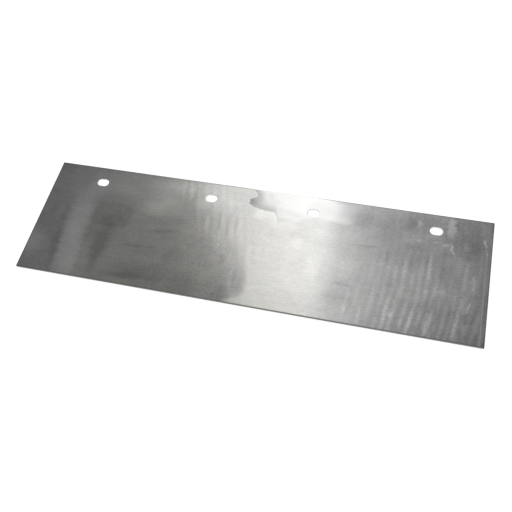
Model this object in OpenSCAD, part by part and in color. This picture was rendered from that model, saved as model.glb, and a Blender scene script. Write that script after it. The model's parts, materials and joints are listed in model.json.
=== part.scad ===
// Flat steel scraper blade for a small snow plow.
// One piece of sheet steel, lying on its back face: X runs along the blade, Y from the scraping
// edge (-Y) to the bolting edge (+Y), and Z up through the sheet. The origin is the centre of the
// back face. All sizes are in millimetres.

/* [Blade] */
// Length of the blade along its scraping edge
blade_length = 609.6; // [500:0.1:1300]
// Height of the blade from its scraping edge to its bolting edge
blade_height = 177.8; // [100:0.1:400]
// Thickness of the sheet
blade_thickness = 2.66; // [1.5:0.01:8]
// Radius of the four corners, seen from the front
corner_radius = 0.8; // [0.5:0.1:5]
// Leg of the 45 degree break on every edge
edge_break = 0.3; // [0.1:0.05:0.5]

/* [Bolt slots] */
// Distance between the centres of the two outer slots
outer_spacing = 466.7; // [300:0.1:470]
// Distance between the centres of the two inner slots
inner_spacing = 142.9; // [60:0.1:250]
// Distance from the bolting edge to the centreline of the slots
slot_setback = 25.4; // [15:0.1:45]
// Length of each slot from end to end
slot_length = 15.88; // [14:0.01:24]
// Width of each slot
slot_width = 11.11; // [8:0.01:13.8]

/* [Hidden] */
$fn = 96;

// How far a cutting shape runs past the surface that it cuts.
past = 1;
slot_radius = slot_width / 2;
// Distance from a slot's centre to the centre of each of its round ends.
slot_reach = (slot_length - slot_width) / 2;
slot_y = blade_height / 2 - slot_setback;
slot_x = [-outer_spacing / 2, -inner_spacing / 2, inner_spacing / 2, outer_spacing / 2];

// The sheet's outline: a rectangle with four small round corners.
module outline() {
    square([blade_length - 2 * corner_radius, blade_height], center = true);
    square([blade_length, blade_height - 2 * corner_radius], center = true);
    for (x = [-1, 1], y = [-1, 1])
        translate([x * (blade_length / 2 - corner_radius), y * (blade_height / 2 - corner_radius)])
            circle(r = corner_radius);
}

// A triangular bar along X, which takes a 45 degree break off an edge that runs through the origin.
module break_bar(bar_length) {
    leg = edge_break + past;
    translate([-bar_length / 2, 0, 0])
        rotate([90, 0, 90])
            linear_extrude(bar_length)
                polygon([[past, past], [past, -leg], [-leg, past]]);
}

// The breaks along the two long and the two short edges of the top face, at height 0.
module face_breaks() {
    for (turn = [0, 180]) {
        rotate([0, 0, turn])
            translate([0, blade_height / 2, 0])
                break_bar(blade_length + 2 * past);
        rotate([0, 0, turn + 90])
            translate([0, blade_length / 2, 0])
                break_bar(blade_height + 2 * past);
    }
}

// The flared mouth of a slot in the top face, at height 0: two cone ends and the wedge between them.
module slot_mouth() {
    wide = slot_radius + edge_break;
    for (side = [-1, 1])
        translate([side * slot_reach, 0, -edge_break])
            cylinder(h = edge_break, r1 = slot_radius, r2 = wide);
    translate([-slot_reach, 0, 0])
        rotate([90, 0, 90])
            linear_extrude(2 * slot_reach)
                polygon([
                    [-slot_radius, -edge_break],
                    [slot_radius, -edge_break],
                    [wide, 0],
                    [-wide, 0]
                ]);
}

// Everything that one slot takes out of the sheet, on the slot's own centre.
module slot_cut() {
    for (side = [-1, 1])
        translate([side * slot_reach, 0, -past])
            cylinder(h = blade_thickness + 2 * past, r = slot_radius);
    translate([-slot_reach, -slot_radius, -past])
        cube([2 * slot_reach, slot_width, blade_thickness + 2 * past]);
    translate([0, 0, blade_thickness])
        slot_mouth();
    mirror([0, 0, 1])
        slot_mouth();
}

// The whole blade: a sheared sheet with broken edges and its row of bolt slots.
module blade() {
    color("silver")
        difference() {
            linear_extrude(blade_thickness)
                outline();
            translate([0, 0, blade_thickness])
                face_breaks();
            mirror([0, 0, 1])
                face_breaks();
            for (x = slot_x)
                translate([x, slot_y, 0])
                    slot_cut();
        }
}

blade();
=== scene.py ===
import json
import math
from collections import namedtuple

import bpy
from mathutils import Matrix, Vector, noise


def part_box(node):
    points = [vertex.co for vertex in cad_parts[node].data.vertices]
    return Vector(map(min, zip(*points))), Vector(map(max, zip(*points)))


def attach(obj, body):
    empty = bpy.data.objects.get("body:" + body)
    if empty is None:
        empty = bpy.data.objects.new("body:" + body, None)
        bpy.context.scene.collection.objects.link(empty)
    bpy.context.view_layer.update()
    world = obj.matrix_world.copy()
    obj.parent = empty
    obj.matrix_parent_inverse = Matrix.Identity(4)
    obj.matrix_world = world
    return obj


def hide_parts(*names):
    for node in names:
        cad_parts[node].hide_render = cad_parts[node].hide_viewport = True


MM = 0.001

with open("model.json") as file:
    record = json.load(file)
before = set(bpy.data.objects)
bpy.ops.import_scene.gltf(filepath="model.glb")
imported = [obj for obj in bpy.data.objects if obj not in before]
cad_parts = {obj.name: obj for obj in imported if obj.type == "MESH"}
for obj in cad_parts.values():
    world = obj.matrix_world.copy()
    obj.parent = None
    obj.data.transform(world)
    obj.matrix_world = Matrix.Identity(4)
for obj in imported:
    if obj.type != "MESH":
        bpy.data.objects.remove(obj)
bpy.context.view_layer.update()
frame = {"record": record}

# The sheet's size and its slots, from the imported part.
low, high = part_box("blade")
length, height, thickness = high - low
mounts = {mount["name"]: mount for mount in frame["record"]["mounts"]}
slot_dims = mounts["outer_slots"]["dims"]
slot_radius = slot_dims["hole_r_mm"] * MM
slot_reach = slot_dims["slot_length_mm"] * MM / 2 - slot_radius
slot_y = mounts["outer_slots"]["pos_m"][1]
slot_x = sorted(
    side * mounts[name]["dims"]["spacing_x_mm"] * MM / 2
    for name in ("outer_slots", "inner_slots")
    for side in (-1, 1)
)


# ---------------------------------------------------------------------------
# The blade's mesh
# ---------------------------------------------------------------------------

CORNER_RADIUS = 0.8 * MM
CORNER_STEPS = 5
# Largest cell of the grid that covers each face, and the finer cell beside a slot.
FACE_CELL = 4 * MM
SLOT_CELL = 1.6 * MM
# Half the window that is left in the grid for a slot and the rings round it.
WINDOW_X = 17.6 * MM
WINDOW_Y = 12.8 * MM
SLOT_RINGS = 5
# Below 1, this draws those rings closer together near the slot.
RING_CROWDING = 0.85
# How far the grid stays inside the outline.
GRID_INSET = 2.5 * MM
# How far a sheared edge's roll reaches into the face.
ROLL_REACH = 0.9 * MM
# Slack for rounding where the grid's stops are counted and matched.
ROUNDING = 1e-6
# The sheet isn't quite true. It stands off the plane by this much on the whole, give or take a slow
# wave and a finer ripple: (features per metre along X, the same along Y, slice of noise, height).
MEAN_LIFT = 0.20 * MM
WAVES = [(5.0, 6.0, 3.7, 0.20 * MM), (22.0, 9.0, 8.1, 0.03 * MM)]

FACE_STEEL, SHEARED_EDGE, PUNCHED_WALL = range(3)

# A sheared edge from the top face to the back face: (outset from the outline in mm, height as a
# share of the thickness). The shear rolls the top edge over, burnishes the upper wall, and breaks
# the lower wall away a little further in.
SHEARED_PROFILE = [
    (-0.45, 0.997), (-0.24, 0.982), (-0.10, 0.950), (-0.03, 0.900), (0.0, 0.830),
    (0.0, 0.620), (-0.02, 0.560), (-0.05, 0.400), (-0.07, 0.200), (-0.07, 0.060), (-0.10, 0.010),
]
# A punched wall: (outset from the slot's nominal wall in mm, height as a share of the thickness).
PUNCHED_PROFILE = [
    (0.30, 0.997), (0.16, 0.982), (0.07, 0.950), (0.03, 0.900), (0.0, 0.830),
    (0.0, 0.600), (0.03, 0.520), (0.07, 0.300), (0.09, 0.070), (0.13, 0.010),
]


def sheet_lift(x, y):
    """How far the sheet stands off a true plane at a point."""
    return MEAN_LIFT + sum(
        wave_height * noise.noise(Vector((x * rate_x, y * rate_y, noise_slice)))
        for rate_x, rate_y, noise_slice, wave_height in WAVES
    )


def stops(edges, cells):
    """Even stops between neighbouring edges, with each gap's own largest cell."""
    out = [edges[0]]
    for start, end, cell in zip(edges, edges[1:], cells):
        count = math.ceil((end - start) / cell - ROUNDING)
        out += [start + (end - start) * (k + 1) / count for k in range(count)]
    return out


def slot_rim(count):
    """Evenly spaced places round a slot, from its right end: (core point, outward direction)."""
    arc = math.pi / 2 * slot_radius
    quarter = arc + slot_reach
    rim = []
    for k in range(count):
        turn, share = divmod(4 * k / count, 1)
        walked = share * quarter if turn % 2 == 0 else (1 - share) * quarter
        angle = min(walked, arc) / slot_radius
        core = Vector((slot_reach - max(0.0, walked - arc), 0))
        out = Vector((math.cos(angle), math.sin(angle)))
        flip = Vector((1 if turn in (0, 3) else -1, 1 if turn < 2 else -1))
        rim.append((core * flip, out * flip))
    return rim


class SheetMesh:
    """Collects the vertices and faces of the blade."""

    def __init__(self):
        self.points = []
        self.faces = []
        self.kinds = []

    def point(self, x, y, level):
        """Adds a vertex at a height given as a share of the thickness."""
        self.points.append((x, y, level * thickness + sheet_lift(x, y)))
        return len(self.points) - 1

    def face(self, corners, kind):
        """Adds a face once its repeated corners are dropped."""
        kept = list(dict.fromkeys(corners))
        if len(kept) > 2:
            self.faces.append(kept)
            self.kinds.append(kind)

    def bridge(self, outer, inner, kind):
        """Joins two closed loops of the same length with quads."""
        for k in range(len(outer)):
            after = (k + 1) % len(outer)
            self.face([outer[k], outer[after], inner[after], inner[k]], kind)

    def rings(self, start, loops, kind):
        """Bridges from a loop through each of the next ones and returns the last."""
        for loop in loops:
            self.bridge(start, loop, kind)
            start = loop
        return start


def window_cells(values, centre, half):
    """The first and last index of the grid stops that bound a window."""
    inside = [k for k, value in enumerate(values) if abs(value - centre) <= half + ROUNDING]
    return inside[0], inside[-1]


class FaceGrid:
    """The grid that covers each face, with a window left open in it for each slot."""

    def __init__(self):
        edge_x = length / 2 - GRID_INSET
        edge_y = height / 2 - GRID_INSET
        x_edges = [-edge_x]
        for x in slot_x:
            x_edges += [x - WINDOW_X, x + WINDOW_X]
        x_edges.append(edge_x)
        self.xs = stops(x_edges, [FACE_CELL, SLOT_CELL] * len(slot_x) + [FACE_CELL])
        self.ys = stops(
            [-edge_y, slot_y - WINDOW_Y, slot_y + WINDOW_Y, edge_y],
            [FACE_CELL, SLOT_CELL, FACE_CELL],
        )
        self.row_low, self.row_high = window_cells(self.ys, slot_y, WINDOW_Y)
        self.windows = [window_cells(self.xs, x, WINDOW_X) for x in slot_x]

    def cell_is_open(self, i, j):
        """Whether a cell is part of a window."""
        in_rows = self.row_low <= j < self.row_high
        return in_rows and any(first <= i < last for first, last in self.windows)

    def stop_is_open(self, i, j):
        """Whether a stop is inside a window, where no cell needs it."""
        in_rows = self.row_low < j < self.row_high
        return in_rows and any(first < i < last for first, last in self.windows)

    def window_keys(self, first, last):
        """The stops round a window, from the middle of its right side, anticlockwise."""
        middle = (self.row_low + self.row_high) // 2
        right_up = [(last, j) for j in range(middle, self.row_high)]
        top = [(i, self.row_high) for i in range(last, first, -1)]
        left = [(first, j) for j in range(self.row_high, self.row_low, -1)]
        bottom = [(i, self.row_low) for i in range(first, last)]
        right_low = [(last, j) for j in range(self.row_low, middle)]
        return right_up + top + left + bottom + right_low


def add_face(sheet, grid, level):
    """The gridded part of the front face, at level 1, or of the back face, at level 0. Returns
    each stop's vertex."""
    at = {
        (i, j): sheet.point(x, y, level)
        for i, x in enumerate(grid.xs)
        for j, y in enumerate(grid.ys)
        if not grid.stop_is_open(i, j)
    }
    for i in range(len(grid.xs) - 1):
        for j in range(len(grid.ys) - 1):
            if not grid.cell_is_open(i, j):
                corners = [at[i, j], at[i + 1, j], at[i + 1, j + 1], at[i, j + 1]]
                sheet.face(corners if level else corners[::-1], FACE_STEEL)
    return at


def add_slot(sheet, grid, tops, backs, x, window):
    """One slot: the rings round it on both faces, and its punched wall between them."""
    centre = Vector((x, slot_y))
    keys = grid.window_keys(*window)
    rim = slot_rim(len(keys))

    def wall_loop(outset, level):
        """A loop round the slot at an outset from its nominal wall."""
        places = [centre + core + out * (slot_radius + outset) for core, out in rim]
        return [sheet.point(place.x, place.y, level) for place in places]

    def ring_loops(level):
        """The rings between the window and the slot's rolled edge, outermost first."""
        loops = []
        for ring in range(1, SLOT_RINGS + 1):
            share = (ring / SLOT_RINGS) ** RING_CROWDING
            loop = []
            for (i, j), (core, out) in zip(keys, rim):
                start = Vector((grid.xs[i], grid.ys[j]))
                end = centre + core + out * (slot_radius + ROLL_REACH)
                place = start.lerp(end, share)
                loop.append(sheet.point(place.x, place.y, level))
            loops.append(loop)
        return loops

    top_rim = sheet.rings([tops[key] for key in keys], ring_loops(1), FACE_STEEL)
    wall = [wall_loop(outset * MM, level) for outset, level in PUNCHED_PROFILE]
    foot = sheet.rings(top_rim, wall, PUNCHED_WALL)
    back_rings = ring_loops(0)
    sheet.bridge(foot, back_rings[-1], PUNCHED_WALL)
    sheet.rings(back_rings[-1], back_rings[-2::-1] + [[backs[key] for key in keys]], FACE_STEEL)


def outline_places(grid):
    """The places round the sheet's outline, from the low end of its right side, anticlockwise:
    (grid stop that the place belongs to, core point, outward direction)."""
    last_i = len(grid.xs) - 1
    last_j = len(grid.ys) - 1
    flat_x = length / 2 - CORNER_RADIUS
    flat_y = height / 2 - CORNER_RADIUS

    def side(keys, out):
        """The places along one side."""
        places = []
        for i, j in keys:
            x = out.x * flat_x if out.x else grid.xs[i]
            y = out.y * flat_y if out.y else grid.ys[j]
            places.append(((i, j), Vector((x, y)), out))
        return places

    def corner(key, from_degrees):
        """The places round one corner."""
        core = Vector((flat_x if key[0] else -flat_x, flat_y if key[1] else -flat_y))
        places = []
        for step in range(CORNER_STEPS + 1):
            angle = math.radians(from_degrees + 90 * step / CORNER_STEPS)
            places.append((key, core, Vector((math.cos(angle), math.sin(angle)))))
        return places

    return (
        side([(last_i, j) for j in range(last_j + 1)], Vector((1, 0)))
        + corner((last_i, last_j), 0)
        + side([(i, last_j) for i in range(last_i, -1, -1)], Vector((0, 1)))
        + corner((0, last_j), 90)
        + side([(0, j) for j in range(last_j, -1, -1)], Vector((-1, 0)))
        + corner((0, 0), 180)
        + side([(i, 0) for i in range(last_i + 1)], Vector((0, -1)))
        + corner((last_i, 0), 270)
    )


def add_edge(sheet, grid, tops, backs):
    """The sheared edge round the sheet, joined to both faces."""
    outline = outline_places(grid)

    def edge_loop(outset, level):
        """A loop round the sheet at an outset from its outline."""
        places = [core + out * (CORNER_RADIUS + outset) for _, core, out in outline]
        return [sheet.point(place.x, place.y, level) for place in places]

    top_lip = edge_loop(-ROLL_REACH, 1)
    sheet.bridge(top_lip, [tops[key] for key, _, _ in outline], FACE_STEEL)
    edge = [edge_loop(outset * MM, level) for outset, level in reversed(SHEARED_PROFILE)]
    back_lip = edge_loop(-ROLL_REACH, 0)
    sheet.bridge([backs[key] for key, _, _ in outline], back_lip, FACE_STEEL)
    sheet.rings(back_lip, edge + [top_lip], SHEARED_EDGE)


def build_blade():
    """One closed mesh of the sheet: two gridded faces, the four slots and the outer edge."""
    sheet = SheetMesh()
    grid = FaceGrid()
    tops = add_face(sheet, grid, 1)
    backs = add_face(sheet, grid, 0)
    for x, window in zip(slot_x, grid.windows):
        add_slot(sheet, grid, tops, backs, x, window)
    add_edge(sheet, grid, tops, backs)
    mesh = bpy.data.meshes.new("blade_sheet")
    mesh.from_pydata(sheet.points, [], sheet.faces)
    mesh.polygons.foreach_set("use_smooth", [True] * len(sheet.faces))
    mesh.polygons.foreach_set("material_index", sheet.kinds)
    mesh.update()
    return mesh


# ---------------------------------------------------------------------------
# Materials
# ---------------------------------------------------------------------------


class Nodes:
    """Short calls that build one node tree."""

    def __init__(self, tree):
        self.tree = tree
        tree.nodes.clear()

    def add(self, kind, inputs=(), **settings):
        """A node with its settings and its inputs, each a socket or a plain value."""
        made = self.tree.nodes.new(kind)
        for name, value in settings.items():
            setattr(made, name, value)
        for key, value in dict(inputs).items():
            if isinstance(value, bpy.types.NodeSocket):
                self.tree.links.new(value, made.inputs[key])
            else:
                made.inputs[key].default_value = value
        return made

    def math(self, operation, first, second=0.0):
        """One sum, product or other operation on two values."""
        node = self.add("ShaderNodeMath", {0: first, 1: second}, operation=operation)
        return node.outputs[0]

    def total(self, values):
        """The sum of a list of values."""
        result = values[0]
        for value in values[1:]:
            result = self.math("ADD", result, value)
        return result

    def product(self, *values):
        """The product of all its values."""
        result = values[0]
        for value in values[1:]:
            result = self.math("MULTIPLY", result, value)
        return result

    def swing(self, level, size):
        """Noise from 0 to 1, made to swing round zero and given a size."""
        return self.product(self.math("SUBTRACT", level, 0.5), size)

    def fade(self, value, start, end, at_start=0.0, at_end=1.0):
        """Runs smoothly from one value to another as the input runs from start to end."""
        node = self.add(
            "ShaderNodeMapRange",
            {"Value": value, "From Min": start, "From Max": end, "To Min": at_start, "To Max": at_end},
            interpolation_type="SMOOTHSTEP",
            clamp=False,
        )
        return node.outputs["Result"]

    def hump(self, value, centre, half, size, core=0.0):
        """A smooth hump of a given size round a centre, down to 0 at half a width away. core is
        the share of it that is flat."""
        away = self.math("ABSOLUTE", self.math("SUBTRACT", value, centre))
        return self.fade(away, core * half, half, size, 0.0)

    def object_place(self):
        """The place on the object itself, in metres."""
        return self.add("ShaderNodeTexCoord").outputs["Object"]

    def apart(self, vector):
        """A vector's X, Y and Z."""
        return self.add("ShaderNodeSeparateXYZ", {0: vector}).outputs

    def scaled(self, vector, scale, turn=0.0):
        """A vector turned about Z by some degrees and then scaled."""
        turned = self.add(
            "ShaderNodeVectorRotate",
            {"Vector": vector, "Angle": math.radians(turn)},
            rotation_type="Z_AXIS",
        )
        grown = self.add(
            "ShaderNodeVectorMath", {0: turned.outputs[0], 1: scale}, operation="MULTIPLY"
        )
        return grown.outputs[0]

    def noise(self, vector, detail=2.0, roughness=0.5, distortion=0.0):
        """Noise from 0 to 1, of about one feature per unit."""
        node = self.add(
            "ShaderNodeTexNoise",
            {
                "Vector": vector,
                "Scale": 1.0,
                "Detail": detail,
                "Roughness": roughness,
                "Distortion": distortion,
            },
        )
        return node.outputs["Fac"]

    def toned_mix(self, factor, first, second, tone):
        """The colour between two, at a factor, times a tone."""
        colour = self.add(
            "ShaderNodeMix", {"Factor": factor, 6: first, 7: second}, data_type="RGBA"
        ).outputs[2]
        return self.add("ShaderNodeVectorMath", {0: colour, 3: tone}, operation="SCALE").outputs[0]

    def surface(self, shader, inputs, output="ShaderNodeOutputMaterial"):
        """A shader, joined to the tree's output."""
        made = self.add(shader, inputs)
        self.add(output, {"Surface": made.outputs[0]})


def new_material(name):
    """A new material, and the calls that build its nodes."""
    material = bpy.data.materials.new(name)
    material.use_nodes = True
    return material, Nodes(material.node_tree)


# A patch on the front face. Some are stains, smudges or polished spots, and some are painted
# highlight and painted shade that stand for the overhead light reflected in the steel. along and
# down are its centre as shares of the length, from the left end, and of the height, from the
# bolting edge; half_x and half_y are its half sizes in mm; turn is in degrees; core is the share
# of it that is flat, so a high core has a crisp rim; strength is how much lighter or darker it is
# than the steel round it. A boxy patch is a rectangle with round corners, and any other is an
# ellipse.
Patch = namedtuple("Patch", "along down half_x half_y turn core strength boxy", defaults=(False,))

PATCHES = [
    # The left end, darker, with a still darker rim and a bright lower corner, and beside it the lighter
    # bar, a painted highlight that stands for the reflection of a light.
    Patch(0.00, 0.50, 42, 200, 0, 0.55, -0.07),
    Patch(0.064, 0.70, 9, 72, 6, 0.2, -0.17),
    Patch(0.01, 0.03, 24, 16, 0, 0.2, -0.10),
    Patch(0.028, 0.46, 12, 14, 0, 0.1, -0.08),
    Patch(0.008, 0.76, 30, 32, 0, 0.1, 0.36),
    # Painted highlight: the lighter bar, a light's reflection stretched up the face across the grain.
    Patch(0.099, 0.66, 20, 88, 4, 0.0, 0.36, boxy=True),
    Patch(0.100, 0.62, 14, 26, 4, 0.1, 0.10),
    Patch(0.128, 0.86, 30, 38, 0, 0.1, 0.14),
    Patch(0.110, 0.21, 26, 22, 0, 0.1, 0.18),
    Patch(0.070, 0.585, 18, 9, 0, 0.1, 0.09),
    Patch(0.098, 0.075, 12, 9, 0, 0.2, 0.11),
    # The dark stain and its tail.
    Patch(0.170, 0.42, 33, 22, 0, 0.7, -0.14, boxy=True),
    Patch(0.180, 0.48, 24, 20, 0, 0.4, -0.09),
    Patch(0.167, 0.68, 18, 42, -3, 0.2, -0.25),
    Patch(0.167, 0.87, 11, 30, 0, 0.1, -0.12),
    Patch(0.137, 0.58, 14, 26, 0, 0.2, -0.08),
    # The lighter field right of the stain, by the bolting edge.
    Patch(0.258, 0.32, 32, 20, 8, 0.1, 0.20),
    Patch(0.205, 0.12, 85, 32, 0, 0.3, 0.19),
    Patch(0.290, 0.10, 44, 34, 0, 0.2, 0.35),
    Patch(0.262, 0.24, 42, 18, 0, 0.2, 0.17),
    Patch(0.295, 0.29, 52, 21, 0, 0.2, 0.20),
    Patch(0.325, 0.07, 50, 16, 0, 0.2, 0.20),
    # Dark smears and duller spots under that field, down to the scraping edge.
    Patch(0.298, 0.505, 34, 5.5, 10, 0.1, -0.12),
    Patch(0.248, 0.662, 42, 3.2, 5, 0.3, -0.14),
    Patch(0.250, 0.925, 42, 7, 4, 0.3, -0.17),
    Patch(0.250, 0.87, 36, 20, 0, 0.1, -0.10),
    Patch(0.325, 0.72, 12, 14, 0, 0.1, -0.09),
    Patch(0.282, 0.70, 18, 14, 0, 0.2, -0.08),
    Patch(0.256, 0.71, 12, 12, 0, 0.2, -0.09),
    Patch(0.340, 0.665, 12, 9, 0, 0.2, -0.08),
    Patch(0.312, 0.92, 16, 10, 0, 0.2, -0.08),
    Patch(0.326, 0.93, 90, 34, 0, 0.3, -0.17),
    Patch(0.455, 0.88, 32, 50, 0, 0.2, -0.15),
    Patch(0.493, 0.80, 9, 26, 0, 0.2, -0.07),
    Patch(0.500, 0.87, 9, 20, 0, 0.2, -0.10),
    Patch(0.468, 0.95, 16, 18, 0, 0.3, -0.10),
    # The bright field of the left roll marks, and duller spots in it and under it.
    Patch(0.385, 0.12, 50, 30, -20, 0.2, 0.18),
    Patch(0.350, 0.08, 9, 9, 0, 0.2, -0.09),
    Patch(0.404, 0.35, 9, 12, 0, 0.2, -0.08),
    Patch(0.365, 0.22, 15, 16, 0, 0.2, 0.15),
    Patch(0.447, 0.66, 7, 12, 4, 0.2, -0.12),
    Patch(0.418, 0.73, 11, 13, 0, 0.2, -0.09),
    # The clean field right of the middle: its dull lower side, and its lighter spots.
    Patch(0.615, 0.96, 75, 34, 0, 0.2, -0.11),
    Patch(0.694, 0.82, 26, 15, 0, 0.2, -0.14),
    Patch(0.678, 0.48, 26, 26, 0, 0.1, 0.07),
    Patch(0.641, 0.60, 14, 28, 0, 0.3, 0.09),
    Patch(0.712, 0.56, 16, 26, 0, 0.2, 0.11),
    Patch(0.700, 0.29, 9, 13, 0, 0.2, 0.07),
    Patch(0.598, 0.42, 12, 14, 0, 0.2, 0.06),
    Patch(0.688, 0.17, 14, 9, 0, 0.2, 0.12),
    Patch(0.575, 0.45, 72, 15, 0, 0.2, 0.045),
    # Spots in the oil film, and in the steel just under its lower rim.
    Patch(0.562, 0.175, 28, 7, 0, 0.3, -0.08),
    Patch(0.562, 0.285, 28, 12, 0, 0.2, 0.09),
    Patch(0.525, 0.100, 12, 9, 0, 0.2, -0.10),
    Patch(0.500, 0.24, 12, 8, 0, 0.2, 0.07),
    Patch(0.531, 0.190, 9, 6, 0, 0.2, 0.12),
    Patch(0.490, 0.02, 6, 4, 0, 0.2, 0.16),
    Patch(0.514, 0.045, 9, 8, 0, 0.2, -0.11),
    Patch(0.597, 0.197, 26, 6.5, 4, 0.2, -0.10),
    Patch(0.543, 0.150, 7, 7, 0, 0.2, -0.08),
    Patch(0.543, 0.228, 10, 5, 0, 0.2, 0.10),
    Patch(0.571, 0.247, 12, 4, 0, 0.2, 0.05),
    # Painted shade that dims the overhead light's reflection here.
    Patch(0.632, 0.10, 23, 22, 0, 0.4, -0.10),
    Patch(0.676, 0.00, 24, 7, 0, 0.2, -0.20),
    Patch(0.650, 0.31, 28, 9, 0, 0.2, 0.06),
    # The right end past the oil: its duller fields and smears, and a few brighter spots.
    Patch(0.728, 0.13, 20, 22, 0, 0.2, -0.20),
    Patch(0.790, 0.17, 38, 32, 0, 0.3, -0.15),
    Patch(0.766, 0.35, 34, 26, 0, 0.2, -0.06),
    Patch(0.775, 0.17, 22, 8, 0, 0.2, -0.07),
    Patch(0.772, 0.09, 9, 7, 0, 0.1, 0.10),
    Patch(0.850, 0.10, 32, 26, 0, 0.2, -0.20),
    Patch(0.830, 0.11, 9, 16, 0, 0.2, -0.07),
    Patch(0.847, 0.10, 5, 11, 0, 0.2, 0.22),
    Patch(0.848, 0.30, 28, 8, 0, 0.1, -0.11),
    Patch(0.870, 0.25, 26, 9, 0, 0.2, -0.10),
    Patch(0.906, 0.34, 12, 12, 0, 0.2, -0.16),
    Patch(0.967, 0.27, 14, 24, 0, 0.1, -0.13),
    Patch(0.951, 0.24, 8, 9, 0, 0.2, 0.17),
    Patch(0.951, 0.34, 9, 8, 0, 0.2, -0.13),
    Patch(0.925, 0.08, 5, 10, 0, 0.2, -0.14),
    Patch(0.728, 0.83, 10, 12, 0, 0.2, -0.12),
    Patch(0.940, 0.17, 34, 40, 0, 0.4, -0.16),
    Patch(0.742, 0.363, 27, 3, 4, 0.2, -0.12),
    Patch(0.708, 0.70, 17, 3.4, -6, 0.2, -0.12),
    Patch(0.803, 0.65, 11, 4, 0, 0.2, -0.12),
    Patch(0.965, 0.84, 10, 9, 0, 0.1, -0.14),
    Patch(0.962, 0.58, 16, 28, 0, 0.1, 0.12),
    Patch(0.880, 1.02, 110, 34, 0, 0.3, -0.14),
    Patch(0.905, 0.80, 72, 20, 0, 0.2, -0.11),
    Patch(0.835, 0.39, 50, 26, 0, 0.2, -0.15),
    Patch(0.990, 0.97, 30, 20, 0, 0.2, -0.14),
    # Its rubbed spots, scratches, nicks and spatter.
    Patch(0.915, 0.10, 8, 20, 3, 0.4, 0.42),
    Patch(0.944, 0.10, 4, 14, 0, 0.2, 0.12),
    Patch(0.981, 0.07, 5, 12, 0, 0.2, 0.12),
    Patch(0.908, 0.15, 2.2, 12, 6, 0.2, 0.18),
    Patch(0.904, 0.250, 6, 4.0, 0, 0.2, 0.40),
    Patch(0.919, 0.278, 2.8, 14, 18, 0.3, 0.46),
    Patch(0.985, 0.19, 2.3, 9, 12, 0.3, 0.60),
    Patch(0.990, 0.27, 1.4, 10, 12, 0.3, 0.34),
    Patch(0.862, 0.25, 30, 3.4, 0, 0.1, 0.06),
    Patch(0.852, 0.245, 5, 3.6, 0, 0.1, 0.22),
    Patch(0.884, 0.240, 6, 3.0, 0, 0.1, 0.20),
    Patch(0.877, 0.655, 5, 3.4, 0, 0.2, 0.26),
    Patch(0.910, 0.640, 12, 5, 0, 0.2, 0.16),
    Patch(0.812, 0.875, 6, 5, 0, 0.1, 0.34),
    Patch(0.850, 0.645, 44, 3.4, 2, 0.1, 0.08),
    Patch(0.865, 0.71, 14, 12, 0, 0.2, 0.09),
    Patch(0.955, 0.71, 22, 14, 0, 0.2, 0.10),
    Patch(0.922, 0.75, 32, 9, 0, 0.2, 0.08),
    Patch(0.876, 0.19, 14, 7, 0, 0.2, 0.08),
]

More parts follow.
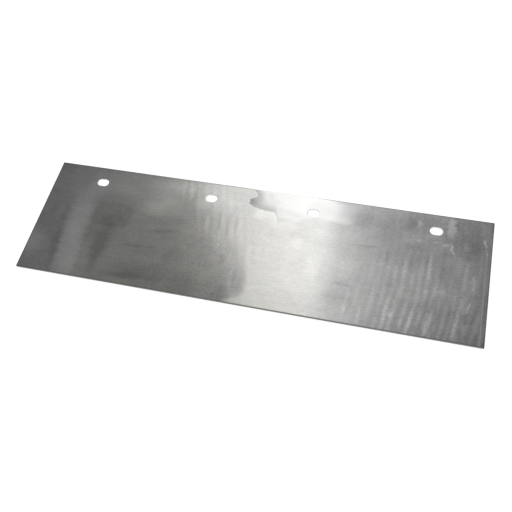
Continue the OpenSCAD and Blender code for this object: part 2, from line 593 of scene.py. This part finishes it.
# The marks that the rolls left across the blade: the leaning ones left of its middle, which are
# faint, and the brighter ones at its right end, which bend over as they near the scraping edge.
ROLL_MARKS = [
    Patch(0.300, 0.09, 2.4, 12, 3, 0.3, 0.10),
    Patch(0.314, 0.09, 3.0, 16, 4, 0.3, 0.18),
    Patch(0.322, 0.10, 2.6, 14, 5, 0.2, -0.12),
    Patch(0.333, 0.11, 3.4, 24, 10, 0.3, 0.16),
    Patch(0.344, 0.10, 3.0, 18, 8, 0.2, -0.11),
    Patch(0.392, 0.37, 3.6, 22, 12, 0.2, 0.10),
    Patch(0.417, 0.33, 3.0, 22, 8, 0.2, -0.12),
    Patch(0.427, 0.49, 3.0, 24, 10, 0.2, 0.11),
    Patch(0.438, 0.37, 3.6, 32, 5, 0.2, -0.13),
    Patch(0.448, 0.45, 3.0, 20, 6, 0.2, 0.05),
    Patch(0.456, 0.34, 3.4, 22, 5, 0.2, -0.13),
    Patch(0.476, 0.80, 3.4, 24, 3, 0.2, 0.07),
    Patch(0.484, 0.80, 3.4, 24, 3, 0.2, -0.07),
    Patch(0.722, 0.86, 3.6, 28, -3, 0.2, 0.10),
    Patch(0.741, 0.79, 3.4, 26, -3, 0.2, 0.05),
    Patch(0.752, 0.92, 4.0, 18, -4, 0.2, 0.14),
    Patch(0.762, 0.54, 4.2, 18, -2, 0.2, 0.07),
    Patch(0.770, 0.80, 3.8, 34, -5, 0.2, 0.12),
    Patch(0.781, 0.47, 3.8, 16, -2, 0.2, 0.08),
    Patch(0.790, 0.42, 3.2, 12, 0, 0.2, -0.12),
    Patch(0.796, 0.53, 4.0, 20, -3, 0.2, 0.12),
    Patch(0.803, 0.87, 3.8, 30, -5, 0.3, 0.20),
    Patch(0.811, 0.55, 4.4, 20, -1, 0.2, 0.14),
    Patch(0.820, 0.80, 3.6, 28, -4, 0.2, 0.12),
    Patch(0.829, 0.50, 4.0, 26, -1, 0.2, 0.20),
    Patch(0.836, 0.92, 3.6, 13, -4, 0.2, 0.26),
    Patch(0.840, 0.44, 3.2, 16, -1, 0.2, -0.10),
    Patch(0.848, 0.58, 4.4, 18, -2, 0.2, 0.10),
    Patch(0.8545, 0.88, 3.6, 28, -8, 0.3, 0.28),
    Patch(0.863, 0.46, 5.0, 28, -1, 0.2, 0.10),
    Patch(0.868, 0.84, 3.6, 22, -4, 0.2, 0.10),
    Patch(0.879, 0.47, 4.0, 30, -1, 0.2, 0.27),
    Patch(0.889, 0.90, 4.0, 32, -10, 0.3, 0.38),
    Patch(0.898, 0.64, 4.4, 16, -6, 0.2, 0.14),
    Patch(0.9025, 0.92, 3.4, 14, -6, 0.2, 0.12),
    Patch(0.906, 0.48, 7.0, 22, -1, 0.2, -0.12),
    Patch(0.914, 0.66, 4.2, 12, -4, 0.2, 0.12),
    Patch(0.924, 0.46, 3.2, 18, 0, 0.2, -0.08),
    Patch(0.933, 0.66, 4.6, 22, -4, 0.2, 0.16),
    Patch(0.9375, 0.42, 5.0, 26, -4, 0.2, 0.16),
    Patch(0.941, 0.86, 3.8, 32, -8, 0.3, 0.42),
    Patch(0.950, 0.70, 3.6, 14, -6, 0.2, 0.24),
    Patch(0.952, 0.50, 3.8, 34, -3, 0.3, 0.26),
    Patch(0.956, 0.88, 3.2, 12, 3, 0.2, 0.20),
    Patch(0.9625, 0.73, 2.8, 13, -14, 0.3, 0.42),
    Patch(0.969, 0.54, 3.6, 22, 0, 0.2, 0.34),
]

# Where the oil film's left rim is without its lobes, and where its shade is counted from, as shares
# of the length.
FILM_LEFT = 0.486
SHADE_LEFT = 0.484
# Where the painted highlight on the cut edge lies, by the oil film: its middle in X, and its half width,
# in metres.
FILM_GLARE_X = 0.031
FILM_GLARE_HALF = 0.058
# The steel's colour where it is coolest and where it is warmest, and how rough its faces are.
COOL_STEEL = (0.600, 0.601, 0.598, 1)
WARM_STEEL = (0.608, 0.602, 0.570, 1)
FACE_ROUGHNESS = 0.18


def patch_sum(nodes, flat, patches):
    """The sum of some patches at a point of the front face. Each one is added as it is made, since
    the renderer can only hold so many values at once."""
    result = 0.0
    for patch in patches:
        centre = ((patch.along - 0.5) * length, (0.5 - patch.down) * height, 0.0)
        local = nodes.add(
            "ShaderNodeMapping",
            {
                "Vector": flat,
                "Location": centre,
                "Rotation": (0.0, 0.0, math.radians(patch.turn)),
                "Scale": (patch.half_x * MM, patch.half_y * MM, 1.0),
            },
            vector_type="TEXTURE",
        ).outputs[0]
        core = patch.core
        if patch.boxy:
            squares = nodes.add("ShaderNodeVectorMath", {0: local, 1: local}, operation="MULTIPLY")
            local = squares.outputs[0]
            core = core * core
        ball = nodes.add("ShaderNodeTexGradient", {"Vector": local}, gradient_type="SPHERICAL")
        mark = nodes.fade(ball.outputs["Fac"], 0.0, 1.0 - core, 0.0, patch.strength)
        result = nodes.math("ADD", result, mark)
    return result


def face_shares(nodes, split):
    """A place on the face as shares of its size: (along from its left end, down from its bolting
    edge)."""
    along = nodes.math("ADD", nodes.math("DIVIDE", split["X"], length), 0.5)
    down = nodes.math("SUBTRACT", 0.5, nodes.math("DIVIDE", split["Y"], height))
    return along, down


def oil_film_with_painted_glare(nodes, along, down):
    """The film of oil by the bolting edge: (its tone, its cover from 0 to 1). Its shape is an oil
    stain, and its tone is painted reflection: dark along its left rim, which has a bay between two
    lobes, and brightening away from it to a painted highlight where the overhead light is reflected.
    Its lower rim steps down and comes back up, and the start of that rim has a bright line under it."""
    left_rim = nodes.total(
        [
            FILM_LEFT,
            nodes.hump(down, 0.0, 0.045, -0.013),
            nodes.hump(down, 0.120, 0.055, -0.015, core=0.35),
        ]
    )
    low_rim = nodes.total(
        [
            nodes.fade(along, 0.470, 0.535, 0.168, 0.187),
            nodes.fade(along, 0.532, 0.545, 0.0, 0.062),
            nodes.fade(along, 0.580, 0.630, 0.0, -0.056),
            nodes.hump(along, 0.685, 0.025, 0.014),
            nodes.fade(along, 0.69, 0.76, 0.0, -0.06),
        ]
    )
    # How far inside those two rims a place is, in mm. The lower one blurs where it steps down.
    from_left = nodes.product(nodes.math("SUBTRACT", along, left_rim), length / MM)
    from_low = nodes.product(nodes.math("SUBTRACT", low_rim, down), height / MM)
    blur = nodes.fade(along, 0.535, 0.56, 1.0, 4.0)
    inside = nodes.product(
        nodes.fade(from_left, -0.5, 0.8),
        nodes.fade(nodes.math("DIVIDE", from_low, blur), -0.6, 1.2),
    )
    # The shade follows the nearer rim, and the lower one counts for less further right.
    depth = nodes.product(
        nodes.math("SUBTRACT", along, SHADE_LEFT),
        length / MM,
        nodes.fade(down, 0.0, 0.17, 1.9, 0.7),
    )
    spread = nodes.product(depth, nodes.fade(along, 0.53, 0.57, 0.30, 0.38))
    from_rims = nodes.math("MINIMUM", depth, nodes.total([nodes.product(from_low, 1.2), spread]))
    shade = nodes.fade(from_rims, 0.0, 26.0, -0.34, 0.19)
    cover = nodes.product(inside, nodes.fade(along, 0.75, 0.665))
    # Painted reflection: the film's dark rim and bright inside stand for the overhead light reflected in
    # the oil.
    film_painted_glare = nodes.product(cover, shade)
    # A darker spot in the lower of the two lobes, and the bright line under the lower rim.
    spot = nodes.product(nodes.hump(along, 0.477, 0.016, 1.0), nodes.hump(down, 0.118, 0.055, -0.20))
    lobe = nodes.product(inside, spot)
    line = nodes.product(
        nodes.fade(from_low, -0.2, -1.8),
        nodes.fade(from_low, -22.0, -2.4),
        nodes.fade(along, 0.480, 0.500),
        nodes.fade(along, 0.548, 0.534, 0.0, 0.18),
    )
    return nodes.total([film_painted_glare, lobe, line]), cover


def painted_shade_left_of_glare(nodes, along, down):
    """Painted shade left of the blade's middle, lower down, beside the overhead light's reflection: its
    right side is a clean line that leans right and hooks back at the scraping edge."""
    side = nodes.total(
        [
            nodes.fade(down, 0.20, 0.85, 0.445, 0.517),
            nodes.fade(down, 0.895, 1.015, 0.0, -0.046),
        ]
    )
    from_side = nodes.product(nodes.math("SUBTRACT", side, along), length / MM)
    # The line is sharp at the scraping edge, and blurs further up.
    clean = nodes.fade(
        from_side, nodes.fade(down, 0.45, 0.80, -8.0, -1.0), nodes.fade(down, 0.45, 0.80, 18.0, 6.0)
    )
    spread = nodes.fade(from_side, 150.0, 10.0, 0.25, 1.0)
    return nodes.product(clean, spread, nodes.fade(down, 0.25, 0.75, 0.0, -0.20))


def roller_bars(nodes, place, down, field, pitch, lean=0.0, bow=0.0):
    """Faint bars across a field of the blade, left by the rolls, from 0 between them to 1 on them.
    pitch is the distance from bar to bar, lean is how far a bar moves sideways per metre of its
    height, and bow is how strongly it bends lower down."""
    split = nodes.apart(place)
    bend = nodes.math("POWER", nodes.math("SUBTRACT", down, 0.25), 2.0)
    drift = nodes.noise(nodes.scaled(place, (22.0, 9.0, 1.0)), detail=1.0)
    walk = nodes.total(
        [
            split["X"],
            nodes.product(split["Y"], lean),
            nodes.product(bend, bow),
            nodes.product(drift, 0.9 * pitch),
        ]
    )
    wave = nodes.math("SINE", nodes.product(walk, 2 * math.pi / pitch))
    uneven = nodes.noise(nodes.scaled(place, (0.9 / pitch, 26.0, 1.0)), detail=2.0)
    return nodes.product(nodes.fade(wave, -1.0, 1.0), nodes.fade(uneven, 0.3, 0.7, 0.1, 1.0), field)


def bars_tone(nodes, bars, field, mean, size):
    """What a field's bars add to its tone. Their mean is taken off, so that the field as a whole
    gets neither lighter nor darker."""
    return nodes.product(nodes.math("SUBTRACT", bars, nodes.product(field, mean)), size)


def edge_margins(nodes, split, down):
    """The tone beside the cut edges: (a darker margin along all of them, and what the right end adds
    to it, which is a thin polished line with a dull strip outside it)."""
    to_right = nodes.math("SUBTRACT", length / 2, split["X"])
    to_end = nodes.math("SUBTRACT", length / 2, nodes.math("ABSOLUTE", split["X"]))
    to_side = nodes.math("SUBTRACT", height / 2, nodes.math("ABSOLUTE", split["Y"]))
    to_edge = nodes.math("MINIMUM", to_end, to_side)
    margin = nodes.fade(to_edge, 2.0 * MM, 0.5 * MM, 0.0, -0.26)
    line = nodes.product(
        nodes.fade(to_right, 7.6 * MM, 6.2 * MM),
        nodes.fade(to_right, 4.4 * MM, 5.8 * MM),
        0.20,
        nodes.fade(down, 0.2, 0.35),
    )
    strip = nodes.fade(to_right, 5.8 * MM, 3.6 * MM, 0.0, -0.10)
    return margin, nodes.math("ADD", line, strip)


def face_steel():
    """Bare rolled sheet, brushed along its length, with an oil film, roll marks and scratches."""
    material, nodes = new_material("bare_steel")
    place = nodes.object_place()
    split = nodes.apart(place)
    along, down = face_shares(nodes, split)
    # 1 on the front face and 0 on the back one, which has only grain, bars and darker margins.
    front = nodes.fade(split["Z"], 0.3 * thickness, 0.7 * thickness)

    def pushed(scale, reach_x, reach_y):
        """Places on the face, pushed about by noise so that the stains have uneven rims. The
        reaches are in mm."""
        wander = nodes.add(
            "ShaderNodeTexNoise",
            {"Vector": nodes.scaled(place, scale), "Scale": 1.0, "Detail": 3.0, "Roughness": 0.6},
        )
        centred = nodes.add(
            "ShaderNodeVectorMath",
            {0: wander.outputs["Color"], 1: (0.5, 0.5, 0.5)},
            operation="SUBTRACT",
        ).outputs[0]
        shift = nodes.scaled(centred, (reach_x * MM, reach_y * MM, 0.0))
        moved = nodes.add("ShaderNodeVectorMath", {0: place, 1: shift}, operation="ADD").outputs[0]
        return nodes.scaled(moved, (1.0, 1.0, 0.0))

    wet_along, wet_down = face_shares(nodes, nodes.apart(pushed((90.0, 90.0, 90.0), 7, 6)))
    # The oil film's tone carries a painted reflection of the overhead light.
    film_painted_glare, cover = oil_film_with_painted_glare(nodes, wet_along, wet_down)
    wet = nodes.product(cover, front)

    # The grain runs along the blade: hair lines, short brushed dashes, dashes that lean a little,
    # and long soft streaks. Clouds and a finer mottle lie over it. Scales are features per metre.
    hair = nodes.noise(nodes.scaled(place, (60.0, 2400.0, 1.0)), detail=3.0, roughness=0.65)
    dashes = nodes.noise(nodes.scaled(place, (240.0, 800.0, 1.0)), detail=2.0, roughness=0.6)
    swept = nodes.noise(nodes.scaled(place, (60.0, 420.0, 1.0), turn=-6.0), detail=3.0, roughness=0.6)
    streaks = nodes.noise(nodes.scaled(place, (12.0, 110.0, 1.0)), detail=3.0)
    clouds = nodes.noise(nodes.scaled(place, (26.0, 30.0, 1.0)), detail=4.0, roughness=0.55)
    mottle = nodes.noise(nodes.scaled(place, (110.0, 140.0, 1.0)), detail=3.0, roughness=0.6)

    # Two fields of bars: a bowed one at the right end, and a leaning lane left of the middle.
    right_field = nodes.product(nodes.fade(along, 0.66, 0.86), nodes.fade(down, 0.30, 0.85, 0.25, 1.0))
    right_bars = roller_bars(nodes, place, down, right_field, pitch=9.8 * MM, bow=23.0 * MM)
    from_lane = nodes.total([along, nodes.product(down, -0.20), -0.350])
    left_lane = nodes.product(
        nodes.fade(nodes.math("ABSOLUTE", from_lane), 0.09, 0.04), nodes.fade(down, 0.72, 0.50)
    )
    left_bars = roller_bars(nodes, place, down, left_lane, pitch=12.0 * MM, lean=0.24)

    margin, right_end = edge_margins(nodes, split, down)
    roll_marks = patch_sum(nodes, pushed((40.0, 120.0, 1.0), 3, 2), ROLL_MARKS)
    marks = nodes.total(
        [
            patch_sum(nodes, pushed((34.0, 150.0, 1.0), 13, 4), PATCHES),
            nodes.product(roll_marks, nodes.fade(dashes, 0.3, 0.7, 0.5, 1.5)),
            film_painted_glare,
            painted_shade_left_of_glare(nodes, wet_along, wet_down),
            right_end,
        ]
    )
    # The dashes are strongest at the right end, and faintest just right of the middle.
    coarse = nodes.total(
        [nodes.fade(along, 0.7, 0.95, 0.50, 0.75), nodes.hump(along, 0.57, 0.14, -0.18)]
    )
    grain = nodes.total(
        [
            nodes.swing(hair, 0.20),
            nodes.swing(dashes, coarse),
            nodes.swing(swept, 0.16),
            nodes.swing(streaks, 0.12),
            nodes.swing(clouds, 0.24),
            nodes.swing(mottle, 0.20),
        ]
    )
    # Under the oil the grain is fainter, and the margin turns from darker to a painted highlight, where
    # the overhead light's reflection runs up to the cut edge.
    dry = nodes.math("SUBTRACT", 1.0, wet)
    tone = nodes.total(
        [
            1.0,
            nodes.product(margin, nodes.fade(dry, 0.0, 1.0, -0.5, 1.0)),
            nodes.product(marks, front),
            nodes.product(grain, nodes.fade(dry, 0.0, 1.0, 0.45, 1.0)),
            bars_tone(nodes, right_bars, right_field, mean=0.42, size=0.26),
            bars_tone(nodes, left_bars, left_lane, mean=0.40, size=0.10),
        ]
    )
    # The steel is warmest from a third of the way along to past the middle, away from the oil.
    warmth = nodes.product(
        nodes.total([nodes.fade(along, 0.05, 0.30, 0.0, 1.4), nodes.fade(along, 0.58, 0.71, 0.0, -1.3)]),
        nodes.fade(clouds, 0.2, 0.6),
        nodes.fade(dry, 0.0, 1.0, 0.3, 1.0),
        nodes.fade(down, 0.15, 0.45, 0.6, 1.0),
    )
    colour = nodes.toned_mix(warmth, COOL_STEEL, WARM_STEEL, tone)

    rough = nodes.total(
        [
            FACE_ROUGHNESS,
            nodes.swing(dashes, 0.06),
            nodes.swing(clouds, 0.08),
            nodes.product(wet, -0.03),
        ]
    )
    relief = nodes.total(
        [
            nodes.product(hair, 0.4),
            nodes.product(dashes, 0.5),
            nodes.product(swept, 0.4),
            nodes.product(right_bars, 1.0),
            nodes.product(left_bars, 0.6),
        ]
    )
    bump = nodes.add("ShaderNodeBump", {"Strength": 0.3, "Distance": 0.02 * MM, "Height": relief})
    across = nodes.add("ShaderNodeCombineXYZ", {"Y": 1.0}).outputs[0]
    nodes.surface(
        "ShaderNodeBsdfPrincipled",
        {
            "Base Color": colour,
            "Metallic": 1.0,
            "Roughness": rough,
            "Anisotropic": 0.8,
            "Tangent": across,
            "Normal": bump.outputs[0],
        },
    )
    return material


def cut_wall(name, bright, dull, torn_top, burnished_from, glare_lift=0.0):
    """A wall cut through the sheet: torn and dull up to one height, burnished and brighter from
    another, each a share of the thickness. The last argument is a painted highlight: how much lighter
    its top corner is where the overhead light's reflection on the oil film runs up to it."""
    material, nodes = new_material(name)
    place = nodes.object_place()
    split = nodes.apart(place)
    level = nodes.math("DIVIDE", split["Z"], thickness)
    score = nodes.noise(nodes.scaled(place, (3200.0, 3200.0, 90.0)), detail=3.0, roughness=0.6)
    grit = nodes.noise(nodes.scaled(place, (2600.0, 2600.0, 2600.0)), detail=4.0, roughness=0.7)
    ragged = nodes.math("ADD", level, nodes.swing(grit, 0.12))
    burnish = nodes.fade(ragged, torn_top, burnished_from)
    tone = nodes.total(
        [
            0.8,
            nodes.product(score, 0.25),
            nodes.product(grit, nodes.fade(burnish, 0.0, 1.0, 0.30, 0.05)),
            nodes.product(
                nodes.hump(split["X"], FILM_GLARE_X, FILM_GLARE_HALF, glare_lift, core=0.6),
                nodes.fade(split["Y"], 0.0, height / 2),
                nodes.fade(level, 0.95, 1.03),
            ),
        ]
    )
    relief = nodes.math("ADD", score, nodes.product(grit, nodes.fade(burnish, 0.0, 1.0, 2.0, 0.2)))
    bump = nodes.add("ShaderNodeBump", {"Strength": 0.5, "Distance": 0.05 * MM, "Height": relief})
    nodes.surface(
        "ShaderNodeBsdfPrincipled",
        {
            "Base Color": nodes.toned_mix(burnish, dull, bright, tone),
            "Metallic": 1.0,
            "Roughness": nodes.fade(burnish, 0.0, 1.0, 0.62, 0.32),
            "Normal": bump.outputs[0],
        },
    )
    return material


# ---------------------------------------------------------------------------
# The piece
# ---------------------------------------------------------------------------

blade = bpy.data.objects.new("scraper_blade", build_blade())
bpy.context.scene.collection.objects.link(blade)
blade.data.materials.append(face_steel())
# Painted shade: the outer sheared edge is given near-black steel, so that it stays dark in the floor's
# glow.
blade.data.materials.append(
    cut_wall(
        "sheared_edge",
        bright=(0.26, 0.26, 0.26, 1),
        dull=(0.10, 0.099, 0.097, 1),
        torn_top=0.52,
        burnished_from=0.64,
        glare_lift=2.2,
    )
)
# Painted light: the slot walls are given near-white steel, so that they look as white as the floor seen
# through the slots.
blade.data.materials.append(
    cut_wall(
        "punched_wall",
        bright=(0.90, 0.90, 0.89, 1),
        dull=(0.76, 0.76, 0.75, 1),
        torn_top=0.48,
        burnished_from=0.60,
    )
)
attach(blade, "root")
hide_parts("blade")


# ---------------------------------------------------------------------------
# Floor, studio and camera
# ---------------------------------------------------------------------------

FLOOR_SIZE = 60.0
FLOOR_DROP = 0.1 * MM
FLOOR_GLOW = 0.74

# The overhead light: one wide diffuser. Its own brightness changes along X, as (x in metres,
# level), and a key light behind it adds a bright field with a slanted left side.
PANEL_CENTRE = (-0.3, 0.9, 1.6)
PANEL_X = 3.0
PANEL_Y = 3.2
PANEL_LEVELS = [
    (-1.80, 0.17), (-1.25, 0.21), (-0.95, 0.26), (-0.66, 0.30), (-0.40, 0.40), (-0.20, 0.60),
    (-0.06, 0.80), (0.02, 0.74), (0.12, 0.62), (0.35, 0.43), (0.52, 0.30), (1.20, 0.22),
]
KEY_LEVEL = 0.75
# Where the key light's left and right sides run from dark to bright, in X.
KEY_LEFT = (-0.62, -0.40)
KEY_RIGHT = (-0.03, -0.12)
KEY_SLANT = 0.44
# How bright the key light is at its near and at its far side, as shares of its level, and where it
# changes, in Y from the panel's middle.
KEY_NEAR = 0.80
KEY_FAR = 1.2
KEY_CHANGE = (-0.4, 0.4)

# The camera looks down on the blade from the front right, turned a little about its own axis.
CAMERA_TARGET = Vector((0.0109, -0.0154, 0.0027))
CAMERA_DISTANCE = 0.9033
CAMERA_AZIMUTH = math.radians(22.38)
CAMERA_ELEVATION = math.radians(58.85)
CAMERA_ROLL = math.radians(-10.25)
CAMERA_LENS = 48.68
CAMERA_RANGE = 100.0


def flat_panel(name, size_x, size_y, centre, material):
    """A flat rectangle of the studio: the floor or the overhead light."""
    mesh = bpy.data.meshes.new(name)
    x = size_x / 2
    y = size_y / 2
    mesh.from_pydata([(-x, -y, 0), (x, -y, 0), (x, y, 0), (-x, y, 0)], [], [(0, 1, 2, 3)])
    mesh.materials.append(material)
    panel = bpy.data.objects.new(name, mesh)
    panel.location = centre
    bpy.context.scene.collection.objects.link(panel)
    return panel


def floor_paint():
    """Pale matt paint, with a glow of its own that keeps the floor even."""
    material, nodes = new_material("pale_floor")
    nodes.surface(
        "ShaderNodeBsdfPrincipled",
        {
            "Base Color": (0.86, 0.86, 0.86, 1),
            "Roughness": 0.9,
            "Specular IOR Level": 0.1,
            "Emission Color": (1, 1, 1, 1),
            "Emission Strength": FLOOR_GLOW,
        },
    )
    return material


def diffuser():
    """The face of the overhead light."""
    material, nodes = new_material("diffuser")
    split = nodes.apart(nodes.object_place())
    ramp = nodes.add(
        "ShaderNodeValToRGB", {0: nodes.math("ADD", nodes.math("DIVIDE", split["X"], PANEL_X), 0.5)}
    )
    marks = ramp.color_ramp.elements
    for k, (x, level) in enumerate(PANEL_LEVELS):
        position = (x - PANEL_CENTRE[0]) / PANEL_X + 0.5
        # A new ramp already has two marks.
        mark = marks[k] if k < 2 else marks.new(position)
        mark.position = position
        mark.color = (level, level, level, 1)
    row_x = nodes.math("ADD", split["X"], PANEL_CENTRE[0])
    leaning_x = nodes.math("ADD", row_x, nodes.product(split["Y"], KEY_SLANT))
    key = nodes.product(
        nodes.fade(leaning_x, *KEY_LEFT),
        nodes.fade(row_x, *KEY_RIGHT),
        nodes.fade(split["Y"], *KEY_CHANGE, KEY_NEAR, KEY_FAR),
        KEY_LEVEL,
    )
    brightness = nodes.math("ADD", ramp.outputs[0], key)
    nodes.surface("ShaderNodeEmission", {"Color": (1, 1, 1, 1), "Strength": brightness})
    return material


def studio_room():
    """The room: white to the camera, and for light and reflections a grey that darkens overhead."""
    world = bpy.data.worlds.new("studio")
    world.use_nodes = True
    nodes = Nodes(world.node_tree)
    up = nodes.apart(nodes.add("ShaderNodeTexCoord").outputs["Generated"])["Z"]
    room = nodes.fade(up, 0.0, 0.38, 0.62, 0.40)
    seen = nodes.add("ShaderNodeLightPath").outputs["Is Camera Ray"]
    shown = nodes.math("MAXIMUM", room, seen)
    nodes.surface(
        "ShaderNodeBackground", {"Color": (1, 1, 1, 1), "Strength": shown}, "ShaderNodeOutputWorld"
    )
    return world


def studio_camera():
    """The camera, at the photograph's angle."""
    forward = Vector(
        (
            -math.sin(CAMERA_AZIMUTH) * math.cos(CAMERA_ELEVATION),
            math.cos(CAMERA_AZIMUTH) * math.cos(CAMERA_ELEVATION),
            -math.sin(CAMERA_ELEVATION),
        )
    )
    level_right = forward.cross(Vector((0, 0, 1))).normalized()
    level_up = level_right.cross(forward)
    right = math.cos(CAMERA_ROLL) * level_right + math.sin(CAMERA_ROLL) * level_up
    turn = Matrix((right, right.cross(forward), -forward)).transposed().to_4x4()
    data = bpy.data.cameras.new("camera")
    data.lens = CAMERA_LENS
    data.clip_end = CAMERA_RANGE
    camera = bpy.data.objects.new("camera", data)
    camera.matrix_world = Matrix.Translation(CAMERA_TARGET - forward * CAMERA_DISTANCE) @ turn
    bpy.context.scene.collection.objects.link(camera)
    return camera


flat_panel("floor", FLOOR_SIZE, FLOOR_SIZE, (0, 0, -FLOOR_DROP), floor_paint())
light = flat_panel("overhead_light", PANEL_X, PANEL_Y, PANEL_CENTRE, diffuser())
light.visible_camera = False
bpy.context.scene.world = studio_room()
bpy.context.scene.camera = studio_camera()
bpy.context.scene.view_settings.view_transform = "Standard"
